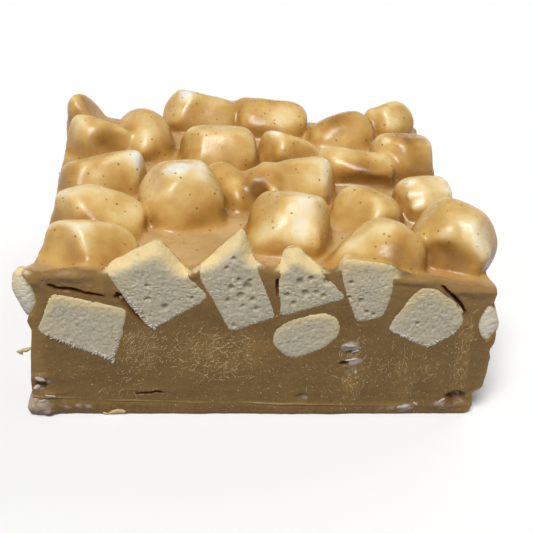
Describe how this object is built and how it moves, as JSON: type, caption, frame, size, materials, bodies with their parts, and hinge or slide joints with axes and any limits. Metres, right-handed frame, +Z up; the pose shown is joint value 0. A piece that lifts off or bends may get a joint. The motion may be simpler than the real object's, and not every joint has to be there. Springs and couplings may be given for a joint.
{
  "type": "butterscotch marshmallow square",
  "caption": "Square cut from a slab of set butterscotch, with small soft marshmallows sunk in its glazed top and sliced open along its cut sides.",
  "frame": {"origin": "centre of the bounding box at the base, on the surface that the square rests on", "axes": "+Z up, -Y out of the front cut, +X to the right seen from the front"},
  "size_m": [0.0881, 0.077, 0.0395],
  "materials": {
    "butterscotch_fudge": "set butterscotch, waxy where cut and glossy where poured",
    "coated_marshmallow": "marshmallow under a thin glossy butterscotch coat",
    "sliced_marshmallow": "dry matte foam with fine pores"
  },
  "bodies": {
    "root": {"butterscotch": "butterscotch_fudge", "marshmallow_back_1": "sliced_marshmallow", "marshmallow_back_2": "sliced_marshmallow", "marshmallow_back_3": "sliced_marshmallow", "marshmallow_back_4": "sliced_marshmallow", "marshmallow_back_5": "sliced_marshmallow", "marshmallow_front_1": "sliced_marshmallow", "marshmallow_front_2": "sliced_marshmallow", "marshmallow_front_3": "sliced_marshmallow", "marshmallow_front_4": "sliced_marshmallow", "marshmallow_front_5": "sliced_marshmallow", "marshmallow_front_6": "sliced_marshmallow", "marshmallow_left_1": "sliced_marshmallow", "marshmallow_left_2": "sliced_marshmallow", "marshmallow_left_3": "sliced_marshmallow", "marshmallow_left_4": "sliced_marshmallow", "marshmallow_left_bulge": "sliced_marshmallow", "marshmallow_right_1": "sliced_marshmallow", "marshmallow_right_2": "sliced_marshmallow", "marshmallow_right_3": "sliced_marshmallow", "marshmallow_right_4": "sliced_marshmallow", "marshmallow_right_bulge": "sliced_marshmallow", "marshmallow_top_back_corner": "coated_marshmallow", "marshmallow_top_back_left": "coated_marshmallow", "marshmallow_top_back_middle": "coated_marshmallow", "marshmallow_top_back_right": "coated_marshmallow", "marshmallow_top_back_spike": "coated_marshmallow", "marshmallow_top_centre_bright": "coated_marshmallow", "marshmallow_top_centre_left": "coated_marshmallow", "marshmallow_top_centre_long": "coated_marshmallow", "marshmallow_top_centre_thin": "coated_marshmallow", "marshmallow_top_front_dome": "coated_marshmallow", "marshmallow_top_front_left": "coated_marshmallow", "marshmallow_top_front_right": "coated_marshmallow", "marshmallow_top_left_dome": "coated_marshmallow", "marshmallow_top_left_long": "coated_marshmallow", "marshmallow_top_left_ridge": "coated_marshmallow", "marshmallow_top_left_sloped": "coated_marshmallow", "marshmallow_top_middle_dome": "coated_marshmallow", "marshmallow_top_middle_peak": "coated_marshmallow", "marshmallow_top_right_banded": "coated_marshmallow", "marshmallow_top_right_block": "coated_marshmallow", "marshmallow_top_right_crescent": "coated_marshmallow", "marshmallow_top_right_low": "coated_marshmallow"}
  },
  "joints": []
}
